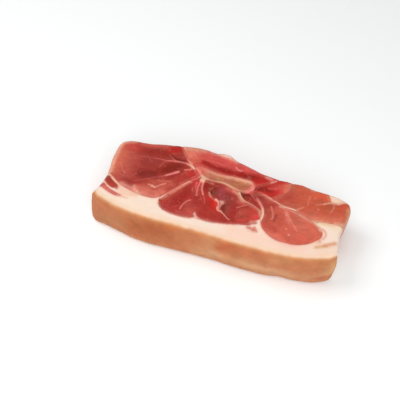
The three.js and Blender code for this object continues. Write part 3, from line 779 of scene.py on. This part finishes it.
                [(-24.5, -15.5), (-27, -18), (-28.5, -21), (-29.5, -24), (-30, -28)],
            ),
            ("#e06a62", 0.8, (0.7, 0.5), [(-25.6, 6), (-25.3, 2), (-24.6, -1)]),
            ("#d0605a", 0.7, (0.6, 0.5), [(-27.3, -1.5), (-26.2, -5)]),
            ("#e67a70", 0.9, (0.9, 0.6), [(-22.8, 8), (-23, 1), (-22, -5), (-21, -9)]),
            ("#d2564e", 0.8, (0.7, 0.6), [(-16, -6), (-13, -11), (-11.5, -15.5)]),
            ("#e8897c", 0.9, (1.2, 0.7), [(-20.5, 10), (-20, 5), (-19, 0), (-16, -6)]),
            ("#e8b498", 0.95, (2.0, 1.2), [(-21.8, 12.6), (-20.6, 9)]),
            ("#e8b49c", 0.8, (1.2, 1.0), [(-23.2, 10.6), (-22.6, 8.6)]),
            ("#a03a2c", 0.7, (1.0, 0.8), [(-13.4, 3), (-12.8, 1)]),
            ("#dc8270", 0.9, (0.7, 0.8), [(-11.6, -2), (-10.4, -4.4), (-8.4, -6.6)]),
            ("#c4625a", 0.85, (0.8, 0.9), [(-8, -7), (-6, -8), (-3, -8.3)]),
            ("#f6ad9a", 0.95, (1.2, 1.3), [(-3, -8.3), (0, -10), (1.2, -14), (1, -17)]),
            ("#ec9682", 0.9, (1.2, 0.8), [(1, -17), (2, -19), (5, -20), (9, -22.5), (13.5, -26)]),
        ],
    },
    "lean_sliver": {
        "piece": "sliver_muscle",
        "slot": "lean_dark",
        "fibres": -30,
        "colour": "#98302a",
        "zones": [
            ("#a8352c", 0.8, (4, 4), [(27, 1), (35, -4)]),
            # Painted shadow below the bone's lower edge.
            ("#742216", 0.95, (3.5, 3.5), [(16.5, 4), (20, 6)]),
            ("#8c1c16", 0.8, (2, 2), [(21, 7.5), (26, 8)]),
            ("#9c4a30", 0.6, (1.2, 1.2), [(20, 1.5), (29, -2)]),
        ],
        "veins": [("#cf6a64", 0.85, (1.0, 1.0), [(25, 8), (27.4, 6), (31, 3)])],
    },
    "lean_front": {
        "piece": "front_muscle",
        "slot": "lean_pale",
        "fibres": 75,
        "colour": "#cf604d",
        "zones": [
            ("#d96c54", 0.8, (8, 8), [(80, -14), (88, -20)]),
            ("#bc5040", 0.6, (4, 4), [(55, -6), (57, -16)]),
            ("#c66a58", 0.6, (5, 5), [(71, -7), (76, -16)]),
            ("#a83a32", 0.9, (5, 4.5), [(36, 5), (40, 0), (46, 1)]),
            ("#741e18", 0.95, (3.4, 3), [(27, 9), (32, 6)]),
            ("#ad4a3c", 0.85, (4.5, 4.5), [(45, -9), (45, -19)]),
            ("#882c26", 0.9, (2.2, 2.2), [(33, 4), (37.8, -2), (41.2, -9.6)]),
            ("#a04034", 0.85, (2.2, 2.4), [(51.6, -9), (51, -16)]),
            ("#b2483c", 0.75, (3.5, 3.5), [(45, -22.6), (53, -24)]),
            ("#e27a6e", 0.7, (2, 2.2), [(58, 0), (60.4, -5), (64.4, -14)]),
            ("#dc7a6a", 0.6, (2.4, 2.4), [(48, -29.4), (54, -32), (64, -35)]),
            ("#e88e80", 0.8, (1.0, 1.4), [(38, 8.8), (41, 8), (45, 6.6)]),
            ("#f0b49e", 0.8, (1.6, 1.2), [(52.4, 2.6), (56, 2)]),
            ("#e4806e", 0.8, (1.4, 1.4), [(58, 1.6), (62, 0.8)]),
            ("#e8a48e", 0.8, (1.2, 1.2), [(64, 0.2), (67.5, -0.8)]),
            ("#e6a088", 0.75, (1.3, 1.5), [(70, -1.6), (78, -4.8), (84, -7)]),
            ("#f4c8b0", 0.9, (1.4, 1.6), [(86, -7.8), (89.6, -9.8), (92, -12.6)]),
        ],
        "veins": [
            ("#da7e6a", 0.75, (0.9, 0.8), [(45, -1), (47.4, -6), (49.3, -11.4), (48.8, -14.6)]),
            ("#e08570", 0.75, (0.8, 0.6), [(60.5, -4), (63, -8), (66, -12), (69, -16)]),
            ("#e58f7c", 0.85, (1.1, 1.0), [(59, -3), (60, -6.5)]),
            ("#e0826d", 0.7, (0.6, 0.6), [(69.5, -16), (72.5, -20.5)]),
            ("#da7862", 0.6, (0.6, 0.5), [(70.5, -17.5), (69, -20)]),
            ("#e39a84", 0.8, (0.9, 0.9), [(63.5, -21)]),
            ("#e6a38c", 0.85, (0.9, 0.9), [(67, -26.5)]),
        ],
    },
    "lean_wedge": {
        "piece": "wedge_muscle",
        "slot": "lean_bright",
        "fibres": 20,
        "colour": "#c4362e",
        "zones": [
            ("#8f1f18", 0.95, (4.5, 4.5), [(28, 16), (38, 17)]),
            ("#b8241f", 0.8, (3, 3), [(39, 12), (45, 13)]),
            ("#d2504a", 0.85, (1.6, 2.2), [(38, 19), (44, 21), (50, 23)]),
            ("#cc5e50", 0.7, (2.2, 2.2), [(46, 25.4), (51, 27)]),
            ("#e29c80", 0.8, (1.8, 2.2), [(55, 25), (55.4, 31)]),
            ("#d05c4c", 0.6, (2, 2), [(45, 10.4), (48.4, 15)]),
            ("#d8745c", 0.9, (3.6, 3.6), [(53.5, 21), (54.5, 31)]),
        ],
        "veins": [],
    },
    "lean_right": {
        "piece": "right_muscle",
        "slot": "lean_pale",
        "fibres": 100,
        "dryness": 0.85,
        "colour": "#c85a42",
        "zones": [
            ("#b8483a", 0.85, (6, 6), [(51, 10), (57, 15)]),
            ("#ae5e4a", 0.75, (2.5, 3), [(56, 6.6), (66, 5)]),
            ("#b85c48", 0.7, (3, 3), [(77, 2.4), (84, 3)]),
            ("#b85538", 0.8, (5, 5), [(87, 12), (97, 15)]),
            ("#d8785e", 0.85, (3.6, 4), [(74, -3), (88, -1), (106, 2)]),
            ("#ebb898", 0.85, (2.2, 2.6), [(101, -3.6), (106, -2.4), (111, 0)]),
            ("#dba27c", 0.7, (2, 2.4), [(70, 31.6), (76, 30.4), (82, 29.6)]),
            ("#dd5f42", 0.85, (4.5, 4.5), [(82, 26), (90, 26)]),
            ("#d2573a", 0.7, (4, 4), [(103, 18), (108, 20)]),
            ("#de9e76", 0.9, (2.6, 2.4), [(112, -6), (111.8, 6), (110.6, 17)]),
            ("#e08a5c", 0.7, (1.8, 1.8), [(89.5, 28.5), (92.6, 22.5)]),
            ("#e8b090", 0.8, (1.5, 1.5), [(83, -5), (89, -4.2), (96, -3.8)]),
        ],
        "veins": [
            ("#dd8068", 0.6, (0.7, 0.6), [(74.5, 22), (74.3, 16), (75, 10)]),
            ("#dd8a72", 0.65, (0.6, 0.8), [(81, 13), (85, 15), (88, 16.5)]),
            ("#eca88f", 0.85, (0.8, 1.3), [(88, 16.5), (93, 19.5), (100, 20.4)]),
            ("#de8c74", 0.6, (0.8, 0.6), [(96.5, 19), (96.8, 13), (95, 8)]),
            ("#de8a70", 0.75, (1.0, 0.6), [(67, 3), (72, 7.5)]),
            ("#e29a84", 0.7, (0.9, 0.9), [(84.5, 8.5)]),
            ("#de8a72", 0.6, (0.8, 0.8), [(79, 20.5)]),
            ("#eec2a8", 0.85, (1.2, 0.8), [(100, 21.5), (104, 23.2), (107.5, 25)]),
        ],
    },
    "streak_upper": {
        "piece": "upper_streak",
        "slot": "lean_dark",
        "fibres": -40,
        "colour": "#a83a2c",
        "zones": [
            ("#9c3a2c", 0.8, (2.5, 2.5), [(-106, -10), (-103, -12)]),
            ("#b84842", 0.7, (3, 3), [(-94, -21), (-91, -21)]),
        ],
        "veins": [],
    },
    "streak_lower": {
        "piece": "lower_streak",
        "slot": "lean_pale",
        "fibres": -40,
        "colour": "#d06a60",
        "zones": [
            ("#b84636", 0.8, (3.5, 3.5), [(-107, -20)]),
            ("#dc7a74", 0.7, (4, 4), [(-97, -26)]),
            ("#e0a090", 0.8, (2.5, 2.5), [(-86, -29.5)]),
        ],
        "veins": [],
    },
}

for node, muscle in MUSCLES.items():
    bm = cut_fine(node, LEAN_CELL)
    round_skin(bm, node, muscle.get("passes", LEAN_PASSES), muscle.get("sharp_line", ()))
    place, skin, wall, edge = survey(bm)
    # What is painted on the cut faces goes a little way down the sides.
    depth = np.minimum(THICKNESS - place[:, 2], place[:, 2])
    cut_face = 1 - ramp(depth, 4, 15)
    tone = np.tile(paint(muscle["colour"]), (len(place), 1))
    brush(tone, place, muscle["zones"], strength=0.3 + 0.7 * cut_face)
    net = np.clip(1 - np.abs(lumps(place, MARBLING_SIZE)) / 0.1, 0, 1)
    blend(tone, 0.45 * net * ramp(lumps(place, 1.7 * MARBLING_SIZE), 0.05, 0.35), MARBLING)
    blend(tone, 0.4 * np.exp(-((edge / 0.8) ** 2)), MARBLING)
    dry = muscle.get("dryness", DRYNESS) + 0.35 * lumps(place, 14) + 0.2 * lumps(place, 5)
    blend(tone, np.clip(dry, 0, 0.85) * ramp(np.abs(skin[:, 2]), 0.85, 0.35), MEMBRANE)
    brush(tone, place, muscle["veins"], sharpness=4, strength=cut_face)
    swell = PILLOW * (1 - np.exp(-edge / 4)) + 0.08 * lumps(place, 2.4)
    for height, radius, colour, points in muscle.get("swellings", ()):
        share = spread(place, points, radius, *SWELLING_HEIGHTS)
        swell += height * share
        blend(tone, 0.85 * ramp(share + 0.3 * lumps(place, 2.5), 0.4, 0.9), colour)
    place = relieve(place, skin, wall, common_relief(place) + swell)
    material = lean_material(f"raw_pork_{node}", muscle["fibres"])
    add_piece(bm, muscle["piece"], node, muscle["slot"], material, place, tone)

# The floor, the light and the camera: a sheet of white board, a soft window of light on the left, a
# large reflector in front and an even white sky, looked down on from the front right.
FLOOR_SIZE = 4.0
FLOOR_TONE = "#fbfdfd"
floor_bm = bmesh.new()
bmesh.ops.create_grid(floor_bm, x_segments=1, y_segments=1, size=FLOOR_SIZE / 2)
floor_mesh = bpy.data.meshes.new("floor")
floor_bm.to_mesh(floor_mesh)
floor_bm.free()
white_board = bpy.data.materials.new("white_board")
white_board.use_nodes = True
board_shader = white_board.node_tree.nodes["Principled BSDF"]
board_shader.inputs["Base Color"].default_value = (*linear(FLOOR_TONE), 1)
board_shader.inputs["Roughness"].default_value = 0.8
floor_mesh.materials.append(white_board)
floor = bpy.data.objects.new("floor", floor_mesh)
bpy.context.scene.collection.objects.link(floor)

SKY_TONE = "#ffffff"
SKY_STRENGTH = 0.5
world = bpy.data.worlds.new("white_sky")
world.use_nodes = True
sky = world.node_tree.nodes["Background"]
sky.inputs["Color"].default_value = (*linear(SKY_TONE), 1)
sky.inputs["Strength"].default_value = SKY_STRENGTH
bpy.context.scene.world = world

# Each lamp: its place and its size in metres and its power in watts. Both face the slice.
LAMPS = {
    "window": (Vector((-0.6, -0.05, 0.95)), 0.6, 4.4),
    "front_reflector": (Vector((0.35, -0.9, 0.9)), 1.2, 10.0),
}
for name, (spot, size, power) in LAMPS.items():
    light = bpy.data.lights.new(name, "AREA")
    light.size = size
    light.energy = power
    lamp = bpy.data.objects.new(name, light)
    lamp.location = spot
    lamp.rotation_euler = (-spot).to_track_quat("-Z", "Y").to_euler()
    bpy.context.scene.collection.objects.link(lamp)

CAMERA_AZIMUTH = math.radians(18.28)
CAMERA_HEIGHT = math.radians(49.0)
CAMERA_DISTANCE = 751.7 * MM
CAMERA_AIM = Vector((-25.89, 18.03, 0)) * MM
CAMERA_LENS = 72.0
CAMERA_NEAR = 0.05
to_camera = Vector(
    (
        math.sin(CAMERA_AZIMUTH) * math.cos(CAMERA_HEIGHT),
        -math.cos(CAMERA_AZIMUTH) * math.cos(CAMERA_HEIGHT),
        math.sin(CAMERA_HEIGHT),
    )
)
lens = bpy.data.cameras.new("camera")
lens.lens = CAMERA_LENS
lens.clip_start = CAMERA_NEAR
camera = bpy.data.objects.new("camera", lens)
camera.location = CAMERA_AIM + to_camera * CAMERA_DISTANCE
camera.rotation_euler = (-to_camera).to_track_quat("-Z", "Y").to_euler()
bpy.context.scene.collection.objects.link(camera)
bpy.context.scene.camera = camera
bpy.context.scene.view_settings.view_transform = "Standard"

bpy.context.view_layer.update()
